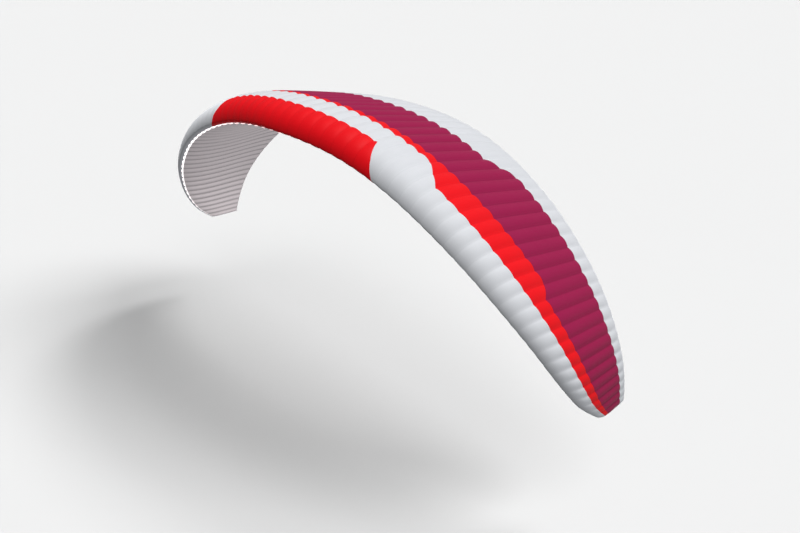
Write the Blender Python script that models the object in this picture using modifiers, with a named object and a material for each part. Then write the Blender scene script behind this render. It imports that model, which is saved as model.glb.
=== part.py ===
"""Paraglider wing: an inflated ram-air canopy, sewn from thin cloth, in metres with +Z up.

X runs along the span (the two halves are alike), Y runs from the leading edge back, Z is up.
The origin is on the underside at the middle of the span, where the wing's load hangs.

A place on the sail has two coordinates. "rib" counts cell walls outwards from the middle of the
span, so the cell walls lie at 0.5, 1.5, ... TIP_RIB. "girth" is the square root of the chord share,
positive on the upper side and negative on the lower, so it runs smoothly round the nose.
"""

import math
from bisect import bisect_right
from functools import lru_cache

import bmesh
import bpy
from mathutils import Vector

# Driving dimensions, in metres and radians
HALF_ARC = 5.8  # length of half the arched leading edge
CELLS = 67
TIP_RIB = CELLS / 2
CELL_TAPER = 0.65  # how much narrower the cells become towards a tip
SHEET = 0.0015  # thickness of a sail
RIB_SHEET = 0.001  # thickness of a cell wall
SEWN_GAP = 0.0014  # between two panels' edges, along the surface
END_GAP = 0.003  # the same beside a slanted end, measured along the span
RIB_GAP = 0.0008  # from a rib's edge to the sail that it carries
HEM_HEIGHT = 0.0018  # half the distance between the two sails at the trailing edge
HEM_FADE = 8  # power of the girth by which the two sails are held apart
HANG_POINT = 0.33  # chord share of the origin, on the lower sail

# Girths of the intake's two lips, under the nose, and of the trailing edge
LIP = -0.148
LIP_REAR = -0.1972
AFT = 1.0

# How the cloth stands up between the walls, as shares of a cell's width. seam: height of the seams
# over the section. crown: height of the cell's crown over its seams, small round the smooth nose.
BILLOW = {
    "girth": (-1.0, -0.85, -0.5, LIP_REAR, LIP, 0.0, 0.15, 0.30, 0.42, 0.85, 0.95, 1.0),
    "seam": (0.0, 0.0, 0.0, 0.005, 0.01, 0.02, 0.01, -0.03, -0.05, -0.05, -0.02, 0.0),
    "crown": (0.03, 0.10, 0.13, 0.09, 0.045, 0.02, 0.035, 0.085, 0.12, 0.13, 0.10, 0.035),
}

# The wing's plan and arch. share: of the half span's arc. chord: nose to trailing edge.
# setback: of the leading edge behind its middle. twist: by which the trailing edge turns inwards.
# lean: of the section's upright from the vertical.
# The plan starts with a place on the other half, so that both edges run level across the middle.
PLAN = {
    "share": (-0.25, 0.0, 0.25, 0.50, 0.70, 0.85, 0.95, 1.0),
    "chord": (2.210, 2.283, 2.210, 2.010, 1.703, 1.313, 0.905, 0.517),
    "setback": (0.084, 0.0, 0.084, 0.160, 0.321, 0.566, 0.877, 1.209),
    "twist": (0.006, 0.0, 0.006, 0.023, 0.039, 0.046, 0.041, 0.034),
}
ARCH = {
    "share": (0.0, 0.20, 0.40, 0.60, 0.75, 0.88, 1.0),
    "lean": (0.0, 0.165, 0.361, 0.596, 0.792, 1.097, 1.535),
}
ARCH_STEPS = 120
SWEEP_STEP = 0.01  # share of the arc over which the leading edge's sweep is taken
GIRTH_STEP = 0.004  # girth over which the section's direction is taken, each way
TIP_THINNING = 0.18

# Depth of the section at even steps along the chord, as factors of a round-nosed curve
UPPER_DEPTH = (0.509, 0.296, 0.228, 0.305)
LOWER_DEPTH = (0.115, 0.165, 0.0)

# Seams between the colours: chord share at a rib, straight in between
NOSE_SEAM = {"rib": (0, TIP_RIB), "share": (0.127, 0.127)}
STRIPE_FRONT = {
    "rib": (0, 10.5, 12.5, 20.5, 31.5, TIP_RIB),
    "share": (0.280, 0.277, 0.147, 0.156, 0.154, 0.173),
}
STRIPE_REAR = {"rib": (0, 20.5, 21.5, TIP_RIB), "share": (0.307, 0.362, 0.287, 0.289)}
FIELD_REAR = {
    "rib": (0, 10.5, 12.5, 17.5, 30.5, 32.5, TIP_RIB),
    "share": (0.705, 0.720, 0.842, 0.843, 0.848, 0.808, 0.79),
}
RED_END = (9.75, 7.8)  # ribs where the red nose panel's end meets the intake lip and nose seam
BAND_END = RED_END[1]  # rib at which the white band behind it ends

# Rows of faces on each panel, from front to rear
NOSE_GIRTHS = (LIP, -0.07, 0.0, 0.06, 0.14, 0.24)  # and the nose seam's
LOWER_GIRTHS = (-AFT, -0.91, -0.80, -0.62, -0.42, LIP_REAR)
BAND_ROWS = 2
STRIPE_ROWS = 1
FIELD_ROWS = 2
TRAIL_ROWS = 2
HALF_CELL = 0.5
SLANT_RIBS = (7.5, 10.5)  # ribs between which the columns slant beside the red panel's end
SLANT_COLUMNS = 5  # of them on the red panel

# The cell walls that carry the lines: every second one, out to the tips
FIRST_WALL = 1.5
WALL_STEP = 2
TIP_WALL_INSET = 0.0015  # from the sails' end to the middle of the tip's wall
WALL_REACH = 0.7  # share of the sails' last row that a wall reaches over

# Colour, roughness
MATERIALS = {
    "red_cloth": ((0.72, 0.005, 0.02), 0.6),
    "white_cloth": ((0.78, 0.79, 0.82), 0.6),
    "purple_cloth": ((0.32, 0.02, 0.08), 0.6),
    "shaded_cloth": ((0.70, 0.69, 0.71), 0.65),
    "rib_cloth": ((0.74, 0.74, 0.75), 0.7),
}


def straight(table, column, at):
    """Value at a place in a table, on the straight line between its two neighbours."""
    places = next(iter(table.values()))
    i = min(bisect_right(places, at), len(places) - 1)
    share = (at - places[i - 1]) / (places[i] - places[i - 1])
    return table[column][i - 1] + share * (table[column][i] - table[column][i - 1])


@lru_cache(maxsize=None)
def slopes(places, values):
    """Slopes of a smooth curve through a table's points that never swings past them."""
    steps = [b - a for a, b in zip(places, places[1:])]
    rises = [(b - a) / step for a, b, step in zip(values, values[1:], steps)]
    found = [((2 * steps[0] + steps[1]) * rises[0] - steps[0] * rises[1]) / (steps[0] + steps[1])]
    for before, after, rise, next_rise in zip(steps, steps[1:], rises, rises[1:]):
        first = 2 * after + before
        second = after + 2 * before
        level = rise * next_rise <= 0
        found.append(0.0 if level else (first + second) / (first / rise + second / next_rise))
    last = (2 * steps[-1] + steps[-2]) * rises[-1] - steps[-1] * rises[-2]
    found.append(last / (steps[-1] + steps[-2]))
    return found


def smooth(table, column, at):
    """Value at a place in a table, on a smooth curve through its points."""
    places = next(iter(table.values()))
    values = table[column]
    slope = slopes(places, values)
    i = min(bisect_right(places, at), len(places) - 1)
    step = places[i] - places[i - 1]
    t = (at - places[i - 1]) / step
    start = values[i - 1] * (1 + 2 * t) * (1 - t) ** 2 + values[i] * t * t * (3 - 2 * t)
    return start + step * (slope[i - 1] * t * (1 - t) ** 2 - slope[i] * t * t * (1 - t))


def arc_share(rib):
    """Share of the half span's arc from the middle out to a rib, with the cells narrowing."""
    u = abs(rib) / TIP_RIB
    return (u - CELL_TAPER * u**3 / 3) / (1 - CELL_TAPER / 3)


def cell_width(rib):
    u = abs(rib) / TIP_RIB
    return HALF_ARC * (1 - CELL_TAPER * u**2) / (1 - CELL_TAPER / 3) / TIP_RIB


@lru_cache(maxsize=None)
def arch_point(share):
    """Distance out and height of the leading edge's arch at a share of the half span's arc."""
    out = 0.0
    height = 0.0
    step = share / ARCH_STEPS
    for i in range(ARCH_STEPS):
        lean = smooth(ARCH, "lean", (i + 0.5) * step)
        out += math.cos(lean) * step * HALF_ARC
        height -= math.sin(lean) * step * HALF_ARC
    return out, height


def profile(girth, share):
    """Section at a share of the arc, in chords: distance back from the nose and height."""
    back = girth * girth
    rest = 1 - back
    if girth >= 0:
        a, b, c, d = UPPER_DEPTH
        depth = a * rest**3 + 3 * b * back * rest**2 + 3 * c * back**2 * rest + d * back**3
    else:
        a, b, c = LOWER_DEPTH
        depth = a * rest**2 + 2 * b * back * rest + c * back**2
    return back, girth * rest * depth * (1 - TIP_THINNING * share**4)


def outward(girth, share):
    """Unit vector out of the section's surface: its part along the chord and its part upright."""
    behind = profile(girth + GIRTH_STEP, share)
    before = profile(girth - GIRTH_STEP, share)
    along = (behind[0] - before[0], behind[1] - before[1])
    length = math.hypot(*along)
    return -along[1] / length, along[0] / length


def raised(rib, girth):
    """Height of the cloth over the section: least at a cell wall, most half-way between two."""
    t = abs(rib) + HALF_CELL
    t -= math.floor(t)
    rounded = 4 * t * (1 - t) * smooth(BILLOW, "crown", girth)
    return (smooth(BILLOW, "seam", girth) + rounded) * cell_width(rib)


def place(rib, girth, inset=0.0):
    """Point on the sail at a rib and a girth, or as far inside it as the inset says."""
    share = min(arc_share(rib), 1.0)
    chord = smooth(PLAN, "chord", share)
    back, height = profile(girth, share)
    nose = outward(girth, share)
    off = raised(rib, girth) - inset
    back = back * chord + nose[0] * off
    height = height * chord + nose[1] * off + math.copysign(HEM_HEIGHT * girth**HEM_FADE, girth)
    twist = smooth(PLAN, "twist", share)
    aft = back * math.cos(twist) + height * math.sin(twist)
    up = height * math.cos(twist) - back * math.sin(twist)
    out, level = arch_point(share)
    lean = smooth(ARCH, "lean", share)
    setback = smooth(PLAN, "setback", share)
    x = out + math.sin(lean) * up
    return Vector((math.copysign(x, rib), setback + aft, level + math.cos(lean) * up))


def across(rib):
    """Length in a cell wall's plane per length square to the swept-back leading edge there."""
    share = min(arc_share(rib), 1.0 - SWEEP_STEP)
    ahead = smooth(PLAN, "setback", share + SWEEP_STEP)
    sweep = (ahead - smooth(PLAN, "setback", share)) / (SWEEP_STEP * HALF_ARC)
    return math.hypot(1.0, sweep)


def hang_point():
    """Point of the lower sail's middle crown that the origin lies on."""
    return place(0.0, -math.sqrt(HANG_POINT))


def seam(table):
    """Girth of a seam at a rib."""
    return lambda rib: math.sqrt(straight(table, "share", abs(rib)))


def edge_at(girth):
    """Line across the whole span at one girth."""
    return lambda rib: girth


def half_cells(first, last):
    """Ribs from first to last: both of them, and each cell wall and crown between."""
    between = range(math.floor(first / HALF_CELL) + 1, math.ceil(last / HALF_CELL))
    return [first, *(i * HALF_CELL for i in between), last]


def girth_rows(front, rear, rows):
    """Girths of a panel's rows at a rib."""
    return lambda rib: [front(rib) + (rear(rib) - front(rib)) * j / rows for j in range(rows + 1)]


def red_end(girth):
    """Rib at which the red nose panel's slanted end lies, at a girth."""
    share = (girth - LIP) / (seam(NOSE_SEAM)(0) - LIP)
    return RED_END[0] + (RED_END[1] - RED_END[0]) * share


def pulled_in(points, first, last, gap):
    """The points of a row with its sewn ends drawn in by half the gap between two panels."""
    drawn = list(points)
    if first:
        drawn[0] = points[0] + (points[1] - points[0]).normalized() * gap / 2
    if last:
        drawn[-1] = points[-1] + (points[-2] - points[-1]).normalized() * gap / 2
    return drawn


def cloth_from_grid(name, columns, material, collection, ends):
    """Sheet of cloth on a grid of (rib, girth) places. The ends named are sewn to a neighbour."""
    rows = [[place(*spot) for spot in column] for column in columns]
    points = [pulled_in(row, True, True, SEWN_GAP) for row in rows]
    lines = [pulled_in(line, "inner" in ends, "outer" in ends, END_GAP) for line in zip(*points)]
    mesh = bpy.data.meshes.new(name)
    bm = bmesh.new()
    origin = hang_point()
    grid = [[bm.verts.new(point - origin) for point in line] for line in lines]
    for low, high in zip(grid, grid[1:]):
        for a, b, c, d in zip(low, low[1:], high[1:], high):
            bm.faces.new((a, b, c, d))
    bm.to_mesh(mesh)
    bm.free()
    piece = bpy.data.objects.new(name, mesh)
    collection.objects.link(piece)
    mesh.materials.append(material)
    return piece


def mirrored(piece):
    """The piece made whole across the middle of the span."""
    mirror = piece.modifiers.new("other_half", "MIRROR")
    mirror.merge_threshold = 0.0001


def thickened(piece):
    """The piece made one sheet thick, inwards from its outer face."""
    solid = piece.modifiers.new("cloth", "SOLIDIFY")
    solid.thickness = SHEET
    solid.offset = -1
    solid.use_even_offset = True
    for face in piece.data.polygons:
        face.use_smooth = True


def row_panel(name, front, rear, rows, ends_at, material, collection):
    """Panel that runs across the middle of the span between two seams."""
    girths = girth_rows(front, rear, rows)
    ribs = half_cells(0.0, ends_at)
    columns = [[(rib, girth) for girth in girths(rib)] for rib in ribs]
    ends = ("outer",) if ends_at < TIP_RIB else ()
    piece = cloth_from_grid(name, columns, material, collection, ends)
    mirrored(piece)
    thickened(piece)


def nose_girths():
    return [*NOSE_GIRTHS, seam(NOSE_SEAM)(0.0)]


def red_nose(material, collection):
    """Red panel round the nose, from the intake lip to the nose seam, with slanted ends."""
    start = SLANT_RIBS[0]
    columns = [[(rib, girth) for girth in nose_girths()] for rib in half_cells(0.0, start)]
    for i in range(1, SLANT_COLUMNS + 1):
        part = i / SLANT_COLUMNS
        columns.append([(start + (red_end(g) - start) * part, g) for g in nose_girths()])
    piece = cloth_from_grid("nose_red", columns, material, collection, ("outer",))
    mirrored(piece)
    thickened(piece)


def white_nose(name, side, material, collection):
    """White panel round the nose on one side, from the red panel's slanted end out to the tip."""
    last = SLANT_RIBS[1]
    inner = [(red_end(girth), girth) for girth in nose_girths()]
    band = girth_rows(seam(NOSE_SEAM), seam(STRIPE_FRONT), BAND_ROWS)
    columns = []
    for behind in half_cells(BAND_END, last):
        part = (behind - BAND_END) / (last - BAND_END)
        column = [(rib + (last - rib) * part, girth) for rib, girth in inner]
        column += [(behind, girth) for girth in band(behind)[1:]]
        columns.append(column)
    for rib in half_cells(last + HALF_CELL, TIP_RIB):
        columns.append([(rib, girth) for girth in nose_girths() + band(rib)[1:]])
    columns = [[(side * rib, girth) for rib, girth in column] for column in columns]
    piece = cloth_from_grid(name, columns, material, collection, ("inner",))
    if side < 0:
        piece.data.flip_normals()
    thickened(piece)


def lower_sail(material, collection):
    """White cloth from the intakes' rear lips to the trailing edge, tip to tip."""
    columns = [[(rib, girth) for girth in LOWER_GIRTHS] for rib in half_cells(0.0, TIP_RIB)]
    piece = cloth_from_grid("lower_sail", columns, material, collection, ())
    mirrored(piece)
    thickened(piece)


def wall_corners(rib):
    """Corners of a cell wall: round the nose on the sails' own rows, and across the intake."""
    upper = [*nose_girths(), *girth_rows(seam(NOSE_SEAM), seam(STRIPE_FRONT), BAND_ROWS)(rib)[1:]]
    upper += girth_rows(seam(STRIPE_FRONT), seam(STRIPE_REAR), STRIPE_ROWS)(rib)[1:]
    upper += girth_rows(seam(STRIPE_REAR), seam(FIELD_REAR), FIELD_ROWS)(rib)[1:]
    upper += girth_rows(seam(FIELD_REAR), edge_at(AFT), TRAIL_ROWS)(rib)[1:]
    lower = reversed(LOWER_GIRTHS)
    inset = (SHEET + RIB_GAP) * across(rib)
    runs = [[place(rib, girth, inset) for girth in run] for run in (upper, lower)]
    for run in runs:
        run[-1] = run[-2].lerp(run[-1], WALL_REACH)
    return runs[0] + runs[1][::-1]


def cell_wall(name, rib, material, collection):
    """Flat cell wall inside the sails, a small gap short of them all round."""
    origin = hang_point()
    mesh = bpy.data.meshes.new(name)
    bm = bmesh.new()
    bm.faces.new([bm.verts.new(corner - origin) for corner in wall_corners(rib)])
    bm.to_mesh(mesh)
    bm.free()
    mesh.materials.append(material)
    wall = bpy.data.objects.new(name, mesh)
    collection.objects.link(wall)
    solid = wall.modifiers.new("cloth", "SOLIDIFY")
    solid.thickness = RIB_SHEET
    solid.offset = 0


def cell_walls(material, collection):
    """The walls that carry the lines, on both sides, numbered outwards from the middle."""
    count = round((TIP_RIB - FIRST_WALL) / WALL_STEP) + 1
    for i in range(count):
        rib = FIRST_WALL + i * WALL_STEP
        if rib == TIP_RIB:
            rib -= TIP_WALL_INSET / cell_width(rib)
        cell_wall(f"rib_right_{i + 1:02d}", rib, material, collection)
        cell_wall(f"rib_left_{i + 1:02d}", -rib, material, collection)


def cloth_material(name):
    colour, roughness = MATERIALS[name]
    material = bpy.data.materials.new(name)
    material.use_nodes = True
    surface = material.node_tree.nodes["Principled BSDF"]
    surface.inputs["Base Color"].default_value = (*colour, 1)
    surface.inputs["Roughness"].default_value = roughness
    surface.inputs["Metallic"].default_value = 0.0
    return material


def main():
    for leftover in list(bpy.data.objects):
        bpy.data.objects.remove(leftover)
    wing = bpy.data.collections.new("paraglider_wing")
    bpy.context.scene.collection.children.link(wing)
    cloth = {name: cloth_material(name) for name in MATERIALS}
    nose, front, rear, field = (seam(t) for t in (NOSE_SEAM, STRIPE_FRONT, STRIPE_REAR, FIELD_REAR))

    red_nose(cloth["red_cloth"], wing)
    white_nose("nose_white_right", 1, cloth["white_cloth"], wing)
    white_nose("nose_white_left", -1, cloth["white_cloth"], wing)
    row_panel("band_white", nose, front, BAND_ROWS, BAND_END, cloth["white_cloth"], wing)
    row_panel("stripe_red", front, rear, STRIPE_ROWS, TIP_RIB, cloth["red_cloth"], wing)
    row_panel("field_purple", rear, field, FIELD_ROWS, TIP_RIB, cloth["purple_cloth"], wing)
    row_panel("trail_white", field, edge_at(AFT), TRAIL_ROWS, TIP_RIB, cloth["white_cloth"], wing)
    lower_sail(cloth["shaded_cloth"], wing)
    cell_walls(cloth["rib_cloth"], wing)


main()
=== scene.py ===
"""Looks of the paraglider wing: fine cloth meshes on the frame's solids, in metres with +Z up.

X runs along the span, Y from the leading edge back, Z is up, and the origin is under the middle of
the wing, where its load hangs. "rib" counts cell walls outwards from the middle of the span, so the
walls lie at 0.5, 1.5, ... TIP_RIB. "girth" is the square root of the chord share, positive on the
upper side and negative on the lower, so it runs smoothly round the nose.
"""

import math
import random
from bisect import bisect_right
from functools import lru_cache

import bpy
from mathutils import Matrix, Vector


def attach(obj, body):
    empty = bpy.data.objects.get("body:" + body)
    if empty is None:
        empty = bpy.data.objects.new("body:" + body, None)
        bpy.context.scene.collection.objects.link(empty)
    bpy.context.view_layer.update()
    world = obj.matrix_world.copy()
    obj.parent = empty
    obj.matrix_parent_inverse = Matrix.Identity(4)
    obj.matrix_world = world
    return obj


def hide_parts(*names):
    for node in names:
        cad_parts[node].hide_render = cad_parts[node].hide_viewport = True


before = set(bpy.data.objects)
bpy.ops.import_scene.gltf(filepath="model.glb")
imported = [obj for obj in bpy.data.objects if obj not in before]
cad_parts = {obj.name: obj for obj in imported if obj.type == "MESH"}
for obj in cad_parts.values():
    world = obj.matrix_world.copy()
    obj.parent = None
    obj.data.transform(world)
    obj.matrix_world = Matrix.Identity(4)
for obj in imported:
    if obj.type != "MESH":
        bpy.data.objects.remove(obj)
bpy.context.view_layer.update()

# The wing's shape, as in the frame: metres and radians
HALF_ARC = 5.8  # along the leading edge, from the middle of the span to a tip
CELLS = 67
TIP_RIB = CELLS / 2
CELL_TAPER = 0.65  # share by which a cell at the tip is narrower than one in the middle
HEM_HEIGHT = 0.0018  # half the distance between the sails at the trailing edge
HEM_FADE = 8  # the higher, the closer to the trailing edge the sails part
HANG_POINT = 0.33  # chord share under which the load hangs
LIP = -0.148  # girths of the intakes' front and rear lips
LIP_REAR = -0.1972

# Heights over the section, in widths of the cell: of the seams, and of the crowns over the seams
BILLOW = {
    "girth": (-1.0, -0.85, -0.5, LIP_REAR, LIP, 0.0, 0.15, 0.30, 0.42, 0.85, 0.95, 1.0),
    "seam": (0.0, 0.0, 0.0, 0.005, 0.01, 0.02, 0.01, -0.03, -0.05, -0.05, -0.02, 0.0),
    "crown": (0.03, 0.10, 0.13, 0.09, 0.045, 0.02, 0.035, 0.085, 0.12, 0.13, 0.10, 0.035),
}
AFT = 1.0  # girth of the upper sail's trailing edge

# By share of the half span's arc: twist lowers the rear of a section, and lean tips it outwards
PLAN = {
    "share": (-0.25, 0.0, 0.25, 0.50, 0.70, 0.85, 0.95, 1.0),
    "chord": (2.210, 2.283, 2.210, 2.010, 1.703, 1.313, 0.905, 0.517),
    "setback": (0.084, 0.0, 0.084, 0.160, 0.321, 0.566, 0.877, 1.209),
    "twist": (0.006, 0.0, 0.006, 0.023, 0.039, 0.046, 0.041, 0.034),
}
ARCH = {
    "share": (0.0, 0.20, 0.40, 0.60, 0.75, 0.88, 1.0),
    "lean": (0.0, 0.165, 0.361, 0.596, 0.792, 1.097, 1.535),
}
ARCH_STEPS = 120  # in which the arch is summed
GIRTH_STEP = 0.004  # over which the section's slope is taken
TIP_THINNING = 0.18  # share by which the section is thinner at the tip
# Depths of the section over and under its chord, from the nose to the rear
UPPER_DEPTH = (0.509, 0.296, 0.228, 0.305)
LOWER_DEPTH = (0.115, 0.165, 0.0)

# Seams between the colours: chord share at a rib, straight in between
NOSE_SEAM = {"rib": (0, TIP_RIB), "share": (0.127, 0.127)}
STRIPE_FRONT = {
    "rib": (0, 10.5, 12.5, 20.5, 31.5, TIP_RIB),
    "share": (0.280, 0.277, 0.147, 0.156, 0.154, 0.173),
}
STRIPE_REAR = {"rib": (0, 20.5, 21.5, TIP_RIB), "share": (0.307, 0.362, 0.287, 0.289)}
FIELD_REAR = {
    "rib": (0, 10.5, 12.5, 17.5, 30.5, 32.5, TIP_RIB),
    "share": (0.705, 0.720, 0.842, 0.843, 0.848, 0.808, 0.79),
}
RED_END = (9.75, 7.8)  # ribs at which the red nose panel ends, at the lip and at the nose seam
BAND_END = RED_END[1]
SLANT_RIBS = (7.5, 10.5)  # ribs between which the columns slant beside the red panel's end

# Fineness of the cloth meshes
CELL_STEPS = 8  # columns of faces in a cell
NOSE_ROWS = 16
BAND_ROWS = 7
STRIPE_ROWS = 4
FIELD_ROWS = 12
TRAIL_ROWS = 9
LOWER_ROWS = 26
SLANT_COLUMNS = 18
WALL_STEPS = 40

# The cell walls
WALLS_A_SIDE = 34
WALL_INSET = 0.003  # from a wall's edge to the sails
WALL_END = 0.985  # girth at which it ends
PAINTED_GLOW = 0.68  # strength of the painted glow on the cell walls, standing in for daylight that comes through the sails
PAINTED_GLOW_COLOUR = (1.0, 0.98, 0.97)
LIP_GLOW_BAND = 0.008  # width of the lower sail's band along the intakes that has a painted glow, as the walls do
LIP_GLOW_ZONE = 0.12  # chord distance within which that painted glow lies

# The intake lip, which dips towards each cell wall
LIP_DIP = 0.042  # in girth
LIP_CORNER = 3  # the higher, the squarer the intake's mouth

# Small unevenness of the sewn cloth
SEED = 7  # of the cells' random crowns
CROWN_SPREAD = 0.07  # share by which the cells' crowns differ
PUCKER = 0.0011  # height of the little creases beside a seam
PUCKER_LENGTH = 0.055  # from one such crease to the next
PUCKER_REACH = 0.16  # share of a cell's width over which they die away
PUCKER_START = 0.12  # share of it over which they rise from the seam

# Sail cloth: colour, roughness, and factors on the colour at the doubled seams (darker cloth, with
# painted shade on the purple and lower sails) and beside them (painted shade)
CLOTHS = {
    "red_cloth": ((0.92, 0.006, 0.012), 0.5, 0.92, 0.97),
    "white_cloth": ((0.745, 0.757, 0.788), 0.52, 0.97, 1.0),
    "purple_cloth": ((0.355, 0.008, 0.073), 0.5, 0.80, 0.93),
    # The lower sail's white cloth, lighter and with a warm pink tint painted for light that comes
    # through the red and purple sails
    "shaded_cloth": ((0.95, 0.855, 0.87), 0.55, 0.55, 0.60),
}
WALL_COLOUR = (0.78, 0.78, 0.79)
WALL_ROUGHNESS = 0.6
SEAM_ALLOWANCE = 0.009  # width of the doubled cloth beside a seam
SEAM_SHADE_REACH = 0.045  # from a cell wall's seam to where the painted shade towards it ends
STITCH = 0.0035  # length of a stitch and the gap after it
STITCH_FILL = 0.65  # share of that length which the thread takes up
STITCH_LINE = 0.004  # distance of the stitches from the seam
STITCH_WIDTH = 0.0009
RIPSTOP = 0.005  # pitch of the thicker threads in the weave
RIPSTOP_WIDTH = 0.0006

# How the cloth's colour varies: factors on it, and shares of the full effect
CLOUD_SCALE = 2.2
CLOUDS = (0.955, 1.03)
WALL_CLOUD_SCALE = 3.0
WALL_CLOUDS = (0.94, 1.03)
THREADS = 0.93
WALL_THREADS = 0.9
THREAD_SHARE = 0.5
SEAM_SHARE = 0.8
STITCH_DARKER = 0.1  # than the doubled cloth beneath
ROUGHNESS_SCALE = 9.0
ROUGHNESS_SPREAD = 0.12

# Relief: strength and height in metres
WEAVE_RELIEF = (0.25, 0.0002)
SEAM_RELIEF = (0.4, 0.0004)
STITCH_SINK = 0.6  # share of the doubled cloth's height that its stitches sink by
CREASE_RELIEF = (0.12, 0.003)
CREASE_SCALE = 28.0
CREASE_DETAIL = 4.0

# Gloss
SAIL_SPECULAR = 0.12
SAIL_SHEEN = 0.02
SAIL_SHEEN_ROUGHNESS = 0.4
WALL_SPECULAR = 0.3

# Camera: place, direction it looks from, roll and lens
CAMERA_AT = (9.818, -6.516, 2.904)
CAMERA_TURN = math.radians(51.39)
CAMERA_RISE = math.radians(23.02)
CAMERA_ROLL = math.radians(-1.44)
FOCAL_PIXELS = 867.9
FRAME_WIDTH = 800
SENSOR = 36.0  # millimetres
CLIP_END = 1000.0

# Studio. A lamp's turn is from +Y towards +X, and its brightness is what a white floor that faces
# it would show. The top lamp lights the wing alone, the left lamp the left nose alone, the inside
# lamp the lower sail alone, and the floor lamps the floor alone.
FLOOR_Z = -4.16
FLOOR_SIZE = 400.0
FLOOR_COLOUR = (0.415, 0.415, 0.415)
FLOOR_ROUGHNESS = 0.9
BACKDROP_RADIUS = 190.0
BACKDROP_BRIGHTNESS = 0.87
TOP_LAMP = {"turn": 165, "rise": 80, "spread": 36, "brightness": 0.75}
LEFT_LAMP = {"turn": -80, "rise": 30, "spread": 60, "brightness": 0.30}
INSIDE_LAMP = {"turn": 90, "rise": 52, "spread": 20, "brightness": 0.46}
FLOOR_LAMPS = (
    {"turn": 17, "rise": 54, "spread": 13, "brightness": 0.48},
    {"turn": 63.5, "rise": 43, "spread": 30, "brightness": 1.43},
    {"turn": 107, "rise": 50, "spread": 41, "brightness": 0.61},
)
SKY_COLOUR = (0.97, 0.985, 1.0)
SKY_LEVEL = 0.32
SKY_SLOPE = (0.26, 0.20, 0.0)  # how much brighter it is towards +X, +Y and +Z
SKY_LEAST = 0.03  # however dark the slope would make it


def straight(table, column, at):
    """Value at a place in a table, on the straight line between its two neighbours."""
    places = next(iter(table.values()))
    i = min(bisect_right(places, at), len(places) - 1)
    share = (at - places[i - 1]) / (places[i] - places[i - 1])
    return table[column][i - 1] + share * (table[column][i] - table[column][i - 1])


@lru_cache(maxsize=None)
def slopes(places, values):
    """Slopes of a smooth curve through a table's points that never swings past them."""
    steps = [b - a for a, b in zip(places, places[1:])]
    rises = [(b - a) / step for a, b, step in zip(values, values[1:], steps)]
    found = [((2 * steps[0] + steps[1]) * rises[0] - steps[0] * rises[1]) / (steps[0] + steps[1])]
    for before, after, rise, next_rise in zip(steps, steps[1:], rises, rises[1:]):
        first = 2 * after + before
        second = after + 2 * before
        level = rise * next_rise <= 0
        found.append(0.0 if level else (first + second) / (first / rise + second / next_rise))
    last = (2 * steps[-1] + steps[-2]) * rises[-1] - steps[-1] * rises[-2]
    found.append(last / (steps[-1] + steps[-2]))
    return found


def smooth(table, column, at):
    """Value at a place in a table, on a smooth curve through its points."""
    places = next(iter(table.values()))
    values = table[column]
    slope = slopes(places, values)
    i = min(bisect_right(places, at), len(places) - 1)
    step = places[i] - places[i - 1]
    t = (at - places[i - 1]) / step
    start = values[i - 1] * (1 + 2 * t) * (1 - t) ** 2 + values[i] * t * t * (3 - 2 * t)
    return start + step * (slope[i - 1] * t * (1 - t) ** 2 - slope[i] * t * t * (1 - t))


def arc_share(rib):
    """Share of the half span's arc from the middle out to a rib, with the cells narrowing."""
    u = abs(rib) / TIP_RIB
    return (u - CELL_TAPER * u**3 / 3) / (1 - CELL_TAPER / 3)


def cell_width(rib):
    u = abs(rib) / TIP_RIB
    return HALF_ARC * (1 - CELL_TAPER * u**2) / (1 - CELL_TAPER / 3) / TIP_RIB


@lru_cache(maxsize=None)
def arch_point(share):
    """Distance out and height of the leading edge's arch at a share of the half span's arc."""
    out = 0.0
    height = 0.0
    step = share / ARCH_STEPS
    for i in range(ARCH_STEPS):
        lean = smooth(ARCH, "lean", (i + 0.5) * step)
        out += math.cos(lean) * step * HALF_ARC
        height -= math.sin(lean) * step * HALF_ARC
    return out, height


@lru_cache(maxsize=None)
def section(rib):
    """What a section's place depends on: share, chord, setback, lean, arch point."""
    share = min(arc_share(rib), 1.0)
    out, level = arch_point(share)
    chord = smooth(PLAN, "chord", share)
    return share, chord, smooth(PLAN, "setback", share), smooth(ARCH, "lean", share), out, level


@lru_cache(maxsize=None)
def profile(girth, share):
    """Section at a share of the arc, in chords: distance back from the nose and height."""
    back = girth * girth
    rest = 1 - back
    if girth >= 0:
        a, b, c, d = UPPER_DEPTH
        depth = a * rest**3 + 3 * b * back * rest**2 + 3 * c * back**2 * rest + d * back**3
    else:
        a, b, c = LOWER_DEPTH
        depth = a * rest**2 + 2 * b * back * rest + c * back**2
    return back, girth * rest * depth * (1 - TIP_THINNING * share**4)


@lru_cache(maxsize=None)
def outward(girth, share):
    """Unit vector out of the section's surface: its part along the chord and its part upright."""
    behind = profile(girth + GIRTH_STEP, share)
    before = profile(girth - GIRTH_STEP, share)
    along = (behind[0] - before[0], behind[1] - before[1])
    length = math.hypot(*along)
    return -along[1] / length, along[0] / length


@lru_cache(maxsize=None)
def crown(cell, lower):
    """How high a cell's crown stands beside the others', and the phase of its creases."""
    chance = random.Random(SEED + CELLS * int(lower) + cell)
    return 1 + CROWN_SPREAD * chance.uniform(-1, 1), chance.uniform(0, 2 * math.pi)


def billow(rib, girth, part):
    """Height of the seams over the section, or of an even cell's crown over its seams."""
    return smooth(BILLOW, part, girth) * cell_width(rib)


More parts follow.
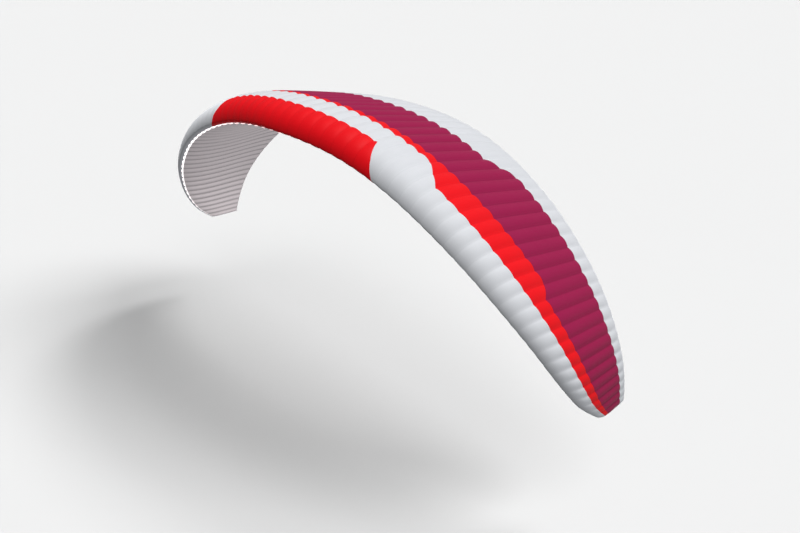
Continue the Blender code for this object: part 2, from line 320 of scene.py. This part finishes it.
def raised(rib, girth, chord):
    """Height of the cloth: a rounded crown between seams, with small creases beside the seams."""
    cell = math.floor(rib + 0.5)
    t = rib + 0.5 - cell
    side = min(t, 1 - t)
    stand, phase = crown(cell, girth < 0)
    crease = math.sin(2 * math.pi * girth * abs(girth) * chord / PUCKER_LENGTH + phase)
    crease *= math.exp(-side / PUCKER_REACH) * min(1.0, side / PUCKER_START)
    rounded = 4 * t * (1 - t) * billow(rib, girth, "crown") * stand
    return billow(rib, girth, "seam") + rounded + PUCKER * crease


def at_height(rib, girth, off):
    """Point at a rib and a girth, so far off the surface through the seams."""
    share, chord, setback, lean, out, level = section(rib)
    back, height = profile(girth, share)
    nose = outward(girth, share)
    back = back * chord + nose[0] * off
    height = height * chord + nose[1] * off + math.copysign(HEM_HEIGHT * girth**HEM_FADE, girth)
    twist = smooth(PLAN, "twist", share)
    aft = back * math.cos(twist) + height * math.sin(twist)
    up = height * math.cos(twist) - back * math.sin(twist)
    x = out + math.sin(lean) * up
    return Vector((math.copysign(x, rib), setback + aft, level + math.cos(lean) * up))


HANG_GIRTH = -math.sqrt(HANG_POINT)
HANG_HEIGHT = billow(0.0, HANG_GIRTH, "seam") + billow(0.0, HANG_GIRTH, "crown")
ORIGIN = at_height(0.0, HANG_GIRTH, HANG_HEIGHT)


def place(rib, girth, inset=0.0):
    """Point on the sewn sail, or as far inside it as the inset says."""
    return at_height(rib, girth, raised(rib, girth, section(rib)[1]) - inset) - ORIGIN


def seam(table):
    """Girth of a seam at a rib."""
    return lambda rib: math.sqrt(straight(table, "share", abs(rib)))


def edge_at(girth):
    """Line across the whole span at one girth."""
    return lambda rib: girth


def steps(first, last):
    """Ribs from first to last: both of them, and CELL_STEPS to a cell between."""
    between = range(math.floor(first * CELL_STEPS) + 1, math.ceil(last * CELL_STEPS))
    return [first, *(i / CELL_STEPS for i in between), last]


def girth_rows(front, rear, rows):
    """Girths of a panel's rows at a rib."""
    return lambda rib: [front(rib) + (rear(rib) - front(rib)) * j / rows for j in range(rows + 1)]


def red_end(girth):
    """Rib at which the red nose panel's slanted end lies, at a girth."""
    share = (girth - LIP) / (seam(NOSE_SEAM)(0) - LIP)
    return RED_END[0] + (RED_END[1] - RED_END[0]) * share


def mirror_columns(columns):
    """A right half's columns, from the middle outwards, with the left half's before them."""
    left = [[(-rib, girth) for rib, girth in column] for column in reversed(columns[1:])]
    return left + columns


def nose_rows():
    """Girths of the nose panels' rows, from the intake lip to the nose seam."""
    return girth_rows(edge_at(LIP), seam(NOSE_SEAM), NOSE_ROWS)(0.0)


def lip(rib):
    """Girth of the intakes' front lip at a rib."""
    t = rib + 0.5 - math.floor(rib + 0.5)
    return LIP - LIP_DIP * abs(2 * t - 1) ** LIP_CORNER


def with_lip(columns):
    """Nose panel's columns with their first row on the dipping lip."""
    return [[(column[0][0], lip(column[0][0])), *column[1:]] for column in columns]


def row_columns(front, rear, rows, last):
    """Columns of a panel that runs across the middle of the span between two seams."""
    girths = girth_rows(front, rear, rows)
    return mirror_columns([[(rib, girth) for girth in girths(rib)] for rib in steps(0.0, last)])


def red_nose_columns():
    """From the intake lip to the nose seam, with slanted ends."""
    start = SLANT_RIBS[0]
    columns = [[(rib, girth) for girth in nose_rows()] for rib in steps(0.0, start)]
    for i in range(1, SLANT_COLUMNS + 1):
        part = i / SLANT_COLUMNS
        columns.append([(start + (red_end(g) - start) * part, g) for g in nose_rows()])
    return mirror_columns(columns)


def white_nose_columns(side):
    """From the red nose panel's slanted end out to the tip on one side."""
    last = SLANT_RIBS[1]
    band = girth_rows(seam(NOSE_SEAM), seam(STRIPE_FRONT), BAND_ROWS)
    columns = []
    for behind in steps(BAND_END, last):
        part = (behind - BAND_END) / (last - BAND_END)
        nose = [(red_end(g) + (last - red_end(g)) * part, g) for g in nose_rows()]
        columns.append(nose + [(behind, girth) for girth in band(behind)[1:]])
    for rib in steps(last, TIP_RIB)[1:]:
        columns.append([(rib, girth) for girth in nose_rows() + band(rib)[1:]])
    if side > 0:
        return columns
    return [[(-rib, girth) for rib, girth in column] for column in reversed(columns)]


def lower_columns():
    """From the trailing edge forward to the intakes' rear lips."""
    girths = girth_rows(edge_at(-AFT), edge_at(LIP_REAR), LOWER_ROWS)
    return [[(rib, girth) for girth in girths(rib)] for rib in steps(-TIP_RIB, TIP_RIB)]


def running_lengths(points):
    """Distance along a line of points to each of them."""
    lengths = [0.0]
    for a, b in zip(points, points[1:]):
        lengths.append(lengths[-1] + (b - a).length)
    return lengths


def cloth(name, columns, material, slot, node):
    """Sheet of cloth on columns of (rib, girth) places, in place of a node of the frame.

    Its UV map is in metres along the span and along the chord. Two attributes tell the material
    how far a point lies from the nearest cell wall's seam and from the panel's front or rear edge.
    """
    grid = [[place(rib, girth) for rib, girth in column] for column in columns]
    rows = len(columns[0])
    mesh = bpy.data.meshes.new(name)
    corners = [point for column in grid for point in column]
    faces = []
    for i in range(len(grid) - 1):
        for j in range(rows - 1):
            low = i * rows + j
            faces.append((low, low + rows, low + rows + 1, low + 1))
    mesh.from_pydata(corners, [], faces)
    wall = mesh.attributes.new("wall_distance", "FLOAT", "POINT")
    edge = mesh.attributes.new("edge_distance", "FLOAT", "POINT")
    spots = []
    for i, column in enumerate(columns):
        lengths = running_lengths(grid[i])
        for j, (rib, girth) in enumerate(column):
            t = rib + 0.5 - math.floor(rib + 0.5)
            wall.data[i * rows + j].value = min(t, 1 - t) * cell_width(rib)
            edge.data[i * rows + j].value = min(lengths[j], lengths[-1] - lengths[j])
            out = math.copysign(HALF_ARC * arc_share(rib), rib)
            spots.append((out, girth * abs(girth) * section(rib)[1]))
    uv = mesh.uv_layers.new(name="metres")
    for loop in mesh.loops:
        uv.data[loop.index].uv = spots[loop.vertex_index]
    mesh.polygons.foreach_set("use_smooth", [True] * len(faces))
    mesh.materials.append(material)
    piece = bpy.data.objects.new(name, mesh)
    bpy.context.scene.collection.objects.link(piece)
    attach(piece, "root")
    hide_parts(node)
    return piece


def cut_size(columns):
    """Width, length and area that a panel was cut to: the seams' arcs and the chords between."""
    places = [[at_height(rib, girth, 0.0) for rib, girth in column] for column in columns]
    width = max(running_lengths([column[j] for column in places])[-1] for j in (0, -1))
    lengths = [running_lengths(column)[-1] for column in places]
    steps_across = running_lengths([column[len(column) // 2] for column in places])
    gaps = [b - a for a, b in zip(steps_across, steps_across[1:])]
    area = sum(gap * (a + b) / 2 for gap, a, b in zip(gaps, lengths, lengths[1:]))
    return width, max(lengths), min(area, width * max(lengths))


class Nodes:
    """Short forms for building one material's node tree."""

    def __init__(self, material):
        material.use_nodes = True
        self.tree = material.node_tree
        self.surface = self.tree.nodes["Principled BSDF"]

    def set(self, socket, value):
        if isinstance(value, bpy.types.NodeSocket):
            self.tree.links.new(value, socket)
        else:
            socket.default_value = value

    def math(self, operation, *values, clamp=False):
        node = self.tree.nodes.new("ShaderNodeMath")
        node.operation = operation
        node.use_clamp = clamp
        for socket, value in zip(node.inputs, values):
            self.set(socket, value)
        return node.outputs[0]

    def mix(self, share, first, second):
        node = self.tree.nodes.new("ShaderNodeMix")
        node.data_type = "RGBA"
        self.set(node.inputs["Factor"], share)
        self.set(node.inputs["A"], first)
        self.set(node.inputs["B"], second)
        return node.outputs["Result"]

    def attribute(self, name):
        node = self.tree.nodes.new("ShaderNodeAttribute")
        node.attribute_name = name
        return node.outputs["Fac"]

    def metres(self):
        node = self.tree.nodes.new("ShaderNodeUVMap")
        node.uv_map = "metres"
        split = self.tree.nodes.new("ShaderNodeSeparateXYZ")
        self.tree.links.new(node.outputs["UV"], split.inputs[0])
        return node.outputs["UV"], split.outputs["X"], split.outputs["Y"]

    def metres_in_wall(self):
        """Places on a cell wall, whose plane holds Y and Z."""
        node = self.tree.nodes.new("ShaderNodeTexCoord")
        split = self.tree.nodes.new("ShaderNodeSeparateXYZ")
        self.tree.links.new(node.outputs["Object"], split.inputs[0])
        return node.outputs["Object"], split.outputs["Y"], split.outputs["Z"]

    def noise(self, place, scale, detail=3.0):
        node = self.tree.nodes.new("ShaderNodeTexNoise")
        self.tree.links.new(place, node.inputs["Vector"])
        node.inputs["Scale"].default_value = scale
        node.inputs["Detail"].default_value = detail
        return node.outputs["Fac"]

    def band(self, distance, middle, width):
        """1 within half the width of a distance, 0 beyond."""
        off = self.math("ABSOLUTE", self.math("SUBTRACT", distance, middle))
        return self.math("LESS_THAN", off, width / 2)

    def lines(self, place, pitch, width):
        """1 on thin lines a pitch apart, 0 between."""
        part = self.math("FRACT", self.math("DIVIDE", place, pitch))
        return self.math("LESS_THAN", part, width / pitch)

    def ripstop(self, across, along):
        """1 on the grid of thicker threads, 0 between."""
        threads = [self.lines(place, RIPSTOP, RIPSTOP_WIDTH) for place in (across, along)]
        return self.math("MAXIMUM", *threads)

    def clouded(self, place, scale, colour, factors):
        """The colour, drifting between its darkest and lightest shade."""
        return self.mix(self.noise(place, scale), *(shade(colour, factor) for factor in factors))

    def bump(self, height, relief, normal=None):
        strength, distance = relief
        node = self.tree.nodes.new("ShaderNodeBump")
        node.inputs["Strength"].default_value = strength
        node.inputs["Distance"].default_value = distance
        self.tree.links.new(height, node.inputs["Height"])
        if normal:
            self.tree.links.new(normal, node.inputs["Normal"])
        return node.outputs["Normal"]


def shade(colour, factor):
    return (*(min(1.0, channel * factor) for channel in colour), 1.0)


def cloth_material(slot):
    """Coated ripstop: a grid of thicker threads, doubled and stitched seams, painted shade towards
    the seams, faint clouding, and on the lower sail a painted glow along the intakes.
    """
    colour, roughness, at_seams, beside = CLOTHS[slot]
    material = bpy.data.materials.new(slot)
    nodes = Nodes(material)
    place, out, back = nodes.metres()
    wall = nodes.attribute("wall_distance")
    edge = nodes.attribute("edge_distance")
    nearest = nodes.math("MINIMUM", wall, edge)
    doubled = nodes.math("LESS_THAN", nearest, SEAM_ALLOWANCE)
    along_wall = nodes.math("LESS_THAN", wall, edge)
    run_back = nodes.math("MULTIPLY", back, along_wall)
    run_out = nodes.math("MULTIPLY", out, nodes.math("SUBTRACT", 1.0, along_wall))
    run = nodes.math("ADD", run_back, run_out)
    thread = nodes.lines(run, STITCH, STITCH * STITCH_FILL)
    stitch = nodes.math("MULTIPLY", nodes.band(nearest, STITCH_LINE, STITCH_WIDTH), thread)
    grid = nodes.ripstop(out, back)
    cloth = nodes.clouded(place, CLOUD_SCALE, colour, CLOUDS)
    cloth = nodes.mix(nodes.math("MULTIPLY", grid, THREAD_SHARE), cloth, shade(colour, THREADS))
    # Painted shade, darkening the cloth towards each cell wall's seam, where the crowns dip
    unshaded_share = nodes.math("DIVIDE", wall, SEAM_SHADE_REACH, clamp=True)
    cloth = nodes.mix(unshaded_share, shade(colour, beside), cloth)
    # Doubled cloth at the seams is darker; on the purple and lower sails this also holds painted
    # shade
    cloth = nodes.mix(nodes.math("MULTIPLY", doubled, SEAM_SHARE), cloth, shade(colour, at_seams))
    stitched = nodes.math("MULTIPLY", stitch, SEAM_SHARE)
    cloth = nodes.mix(stitched, cloth, shade(colour, at_seams - STITCH_DARKER))
    nodes.set(nodes.surface.inputs["Base Color"], cloth)
    worn = nodes.math("MULTIPLY", nodes.noise(place, ROUGHNESS_SCALE), ROUGHNESS_SPREAD)
    rough = nodes.math("ADD", worn, roughness - ROUGHNESS_SPREAD / 2)
    nodes.set(nodes.surface.inputs["Roughness"], rough)
    weave = nodes.bump(grid, WEAVE_RELIEF)
    seams = nodes.math("ADD", doubled, nodes.math("MULTIPLY", stitch, -STITCH_SINK))
    sewn = nodes.bump(seams, SEAM_RELIEF, weave)
    creased = nodes.bump(nodes.noise(place, CREASE_SCALE, CREASE_DETAIL), CREASE_RELIEF, sewn)
    nodes.set(nodes.surface.inputs["Normal"], creased)
    if slot == "shaded_cloth":
        # Painted glow: the lower sail's band along the intakes gives off light, in place of
        # daylight shining into the cells through the intakes
        by_lip = nodes.math("GREATER_THAN", back, -LIP_GLOW_ZONE)
        band = nodes.math("MULTIPLY", nodes.math("LESS_THAN", edge, LIP_GLOW_BAND), by_lip)
        nodes.set(nodes.surface.inputs["Emission Strength"], nodes.math("MULTIPLY", band, PAINTED_GLOW))
        nodes.surface.inputs["Emission Color"].default_value = (*PAINTED_GLOW_COLOUR, 1)
    nodes.surface.inputs["Sheen Weight"].default_value = SAIL_SHEEN
    nodes.surface.inputs["Sheen Roughness"].default_value = SAIL_SHEEN_ROUGHNESS
    nodes.surface.inputs["Specular IOR Level"].default_value = SAIL_SPECULAR
    return material


def wall_material(name, painted_glow):
    """Stiff ripstop, with a painted glow inside the wing that stands in for the daylight that comes
    through the sails.
    """
    material = bpy.data.materials.new(name)
    nodes = Nodes(material)
    place, back, up = nodes.metres_in_wall()
    grid = nodes.ripstop(back, up)
    cloth = nodes.clouded(place, WALL_CLOUD_SCALE, WALL_COLOUR, WALL_CLOUDS)
    threads = nodes.math("MULTIPLY", grid, THREAD_SHARE)
    cloth = nodes.mix(threads, cloth, shade(WALL_COLOUR, WALL_THREADS))
    nodes.set(nodes.surface.inputs["Base Color"], cloth)
    nodes.set(nodes.surface.inputs["Normal"], nodes.bump(grid, WEAVE_RELIEF))
    nodes.surface.inputs["Roughness"].default_value = WALL_ROUGHNESS
    nodes.surface.inputs["Specular IOR Level"].default_value = WALL_SPECULAR
    # Painted glow: the walls give off light in place of daylight through the sails
    nodes.surface.inputs["Emission Color"].default_value = (*PAINTED_GLOW_COLOUR, 1)
    nodes.surface.inputs["Emission Strength"].default_value = painted_glow
    return material


def sail(name, columns, slot, node, materials):
    """One panel of the sail, as a sheet of cloth in place of its node; the size it was cut to is
    worked out but not used.
    """
    piece = cloth(name, columns, materials[slot], slot, node)
    width, length, area = cut_size(columns)


def sails(materials):
    front, rear, field = (seam(table) for table in (STRIPE_FRONT, STRIPE_REAR, FIELD_REAR))
    band = row_columns(seam(NOSE_SEAM), front, BAND_ROWS, BAND_END)
    stripe = row_columns(front, rear, STRIPE_ROWS, TIP_RIB)
    purple = row_columns(rear, field, FIELD_ROWS, TIP_RIB)
    trail = row_columns(field, edge_at(AFT), TRAIL_ROWS, TIP_RIB)
    sail("red_nose_cloth", with_lip(red_nose_columns()), "red_cloth", "nose_red", materials)
    for side, word in ((1, "right"), (-1, "left")):
        columns = with_lip(white_nose_columns(side))
        sail(f"white_nose_cloth_{word}", columns, "white_cloth", f"nose_white_{word}", materials)
    sail("white_band_cloth", band, "white_cloth", "band_white", materials)
    sail("red_stripe_cloth", stripe, "red_cloth", "stripe_red", materials)
    sail("purple_field_cloth", purple, "purple_cloth", "field_purple", materials)
    sail("white_trail_cloth", trail, "white_cloth", "trail_white", materials)
    sail("lower_cloth", lower_columns(), "shaded_cloth", "lower_sail", materials)


def cell_wall(name, rib, materials, node=None):
    """Flat wall that closes a cell's side inside the sails, with a straight edge at the intake."""
    tip = abs(rib) == TIP_RIB
    inset = 0.0 if tip else WALL_INSET
    end = AFT if tip else WALL_END
    upper = [LIP + (end - LIP) * j / WALL_STEPS for j in range(WALL_STEPS + 1)]
    lower = [LIP_REAR + (-end - LIP_REAR) * j / WALL_STEPS for j in range(WALL_STEPS + 1)]
    outline = [place(rib, girth, inset) for girth in upper + lower[::-1]]
    mesh = bpy.data.meshes.new(name)
    mesh.from_pydata(outline, [], [range(len(outline))])
    mesh.materials.append(materials["tip" if tip else "inner"])
    wall = bpy.data.objects.new(name, mesh)
    bpy.context.scene.collection.objects.link(wall)
    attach(wall, "root")
    if node:
        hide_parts(node)
    chord = section(rib)[1]


def cell_walls():
    """All the cell walls: every second one stands for a node, and the frame lacks the others."""
    materials = {"inner": wall_material("rib_cloth", PAINTED_GLOW), "tip": wall_material("tip_cloth", 0.0)}
    for i in range(WALLS_A_SIDE):
        number = (i + 1) // 2
        for side, word in ((1, "right"), (-1, "left")):
            node = f"rib_{word}_{number:02d}" if i % 2 else None
            cell_wall(f"wall_{word}_{i + 1:02d}", side * (0.5 + i), materials, node)


def floor_plane():
    """Pale floor that shows the shadow but throws no light back up."""
    bpy.ops.mesh.primitive_plane_add(size=FLOOR_SIZE, location=(0, 0, FLOOR_Z))
    floor = bpy.context.object
    floor.name = "floor"
    floor.visible_diffuse = False
    floor.visible_glossy = False
    paint = bpy.data.materials.new("floor_paint")
    paint.use_nodes = True
    surface = paint.node_tree.nodes["Principled BSDF"]
    surface.inputs["Base Color"].default_value = (*FLOOR_COLOUR, 1)
    surface.inputs["Roughness"].default_value = FLOOR_ROUGHNESS
    surface.inputs["Specular IOR Level"].default_value = 0.0
    floor.data.materials.append(paint)
    return floor


def backdrop():
    """Pale surround beyond the floor, which neither lights nor shades the wing."""
    bpy.ops.mesh.primitive_uv_sphere_add(radius=BACKDROP_RADIUS)
    surround = bpy.context.object
    surround.name = "backdrop"
    for rays in ("diffuse", "glossy", "transmission", "volume_scatter", "shadow"):
        setattr(surround, f"visible_{rays}", False)
    paint = bpy.data.materials.new("backdrop_paint")
    paint.use_nodes = True
    surface = paint.node_tree.nodes["Principled BSDF"]
    surface.inputs["Base Color"].default_value = (0, 0, 0, 1)
    surface.inputs["Specular IOR Level"].default_value = 0.0
    surface.inputs["Emission Color"].default_value = (1, 1, 1, 1)
    surface.inputs["Emission Strength"].default_value = BACKDROP_BRIGHTNESS
    surround.data.materials.append(paint)


def far_lamp(name, figures):
    """Even light from one side of the sky."""
    turn, rise, spread = (math.radians(figures[key]) for key in ("turn", "rise", "spread"))
    lamp = bpy.data.lights.new(name, "SUN")
    lamp.energy = math.pi * figures["brightness"]
    lamp.angle = spread
    level = math.cos(rise)
    toward = Vector((math.sin(turn) * level, math.cos(turn) * level, math.sin(rise)))
    shining = bpy.data.objects.new(name, lamp)
    shining.rotation_euler = toward.to_track_quat("Z", "Y").to_euler()
    bpy.context.scene.collection.objects.link(shining)
    return shining


def sky():
    """Soft daylight from all round, brighter towards one side."""
    world = bpy.data.worlds.new("sky")
    world.use_nodes = True
    tree = world.node_tree
    direction = tree.nodes.new("ShaderNodeTexCoord")
    towards = tree.nodes.new("ShaderNodeVectorMath")
    towards.operation = "DOT_PRODUCT"
    towards.inputs[1].default_value = SKY_SLOPE
    level = tree.nodes.new("ShaderNodeMath")
    level.inputs[1].default_value = SKY_LEVEL
    least = tree.nodes.new("ShaderNodeMath")
    least.operation = "MAXIMUM"
    least.inputs[1].default_value = SKY_LEAST
    background = tree.nodes["Background"]
    background.inputs["Color"].default_value = (*SKY_COLOUR, 1)
    tree.links.new(direction.outputs["Generated"], towards.inputs[0])
    tree.links.new(towards.outputs["Value"], level.inputs[0])
    tree.links.new(level.outputs[0], least.inputs[0])
    tree.links.new(least.outputs[0], background.inputs["Strength"])
    bpy.context.scene.world = world
    bpy.context.scene.view_settings.view_transform = "Standard"


def receivers(name, *pieces):
    """Collection of the pieces that a lamp lights, or that it leaves out once they are excluded."""
    lit = bpy.data.collections.new(name)
    for piece in pieces:
        lit.objects.link(piece)
    return lit


def studio():
    """Floor, surround, sky, and lamps that each light the wing, one of its sails or the floor."""
    floor = floor_plane()
    backdrop()
    not_floor = receivers("not_floor", floor)
    not_floor.collection_objects[0].light_linking.link_state = "EXCLUDE"
    far_lamp("top_lamp", TOP_LAMP).light_linking.receiver_collection = not_floor
    left_nose = receivers("left_nose_alone", bpy.data.objects["white_nose_cloth_left"])
    far_lamp("left_lamp", LEFT_LAMP).light_linking.receiver_collection = left_nose
    inside = far_lamp("inside_lamp", INSIDE_LAMP)
    inside.data.use_shadow = False
    lower_sail = receivers("lower_sail_alone", bpy.data.objects["lower_cloth"])
    inside.light_linking.receiver_collection = lower_sail
    floor_alone = receivers("floor_alone", floor)
    for number, figures in enumerate(FLOOR_LAMPS, 1):
        far_lamp(f"floor_lamp_{number}", figures).light_linking.receiver_collection = floor_alone
    sky()


def camera():
    """The view from ahead of the right tip and a little above."""
    lens = bpy.data.cameras.new("camera")
    lens.sensor_width = SENSOR
    lens.lens = FOCAL_PIXELS * SENSOR / FRAME_WIDTH
    lens.clip_end = CLIP_END
    back = Vector((
        math.sin(CAMERA_TURN) * math.cos(CAMERA_RISE),
        -math.cos(CAMERA_TURN) * math.cos(CAMERA_RISE),
        math.sin(CAMERA_RISE),
    ))
    level = Vector((0, 0, 1)).cross(back).normalized()
    upright = back.cross(level)
    right = level * math.cos(CAMERA_ROLL) + upright * math.sin(CAMERA_ROLL)
    up = upright * math.cos(CAMERA_ROLL) - level * math.sin(CAMERA_ROLL)
    viewer = bpy.data.objects.new("camera", lens)
    turned = Matrix((right, up, back)).transposed().to_4x4()
    viewer.matrix_world = Matrix.Translation(CAMERA_AT) @ turned
    bpy.context.scene.collection.objects.link(viewer)
    bpy.context.scene.camera = viewer


def main():
    sails({slot: cloth_material(slot) for slot in CLOTHS})
    cell_walls()
    studio()
    camera()


main()
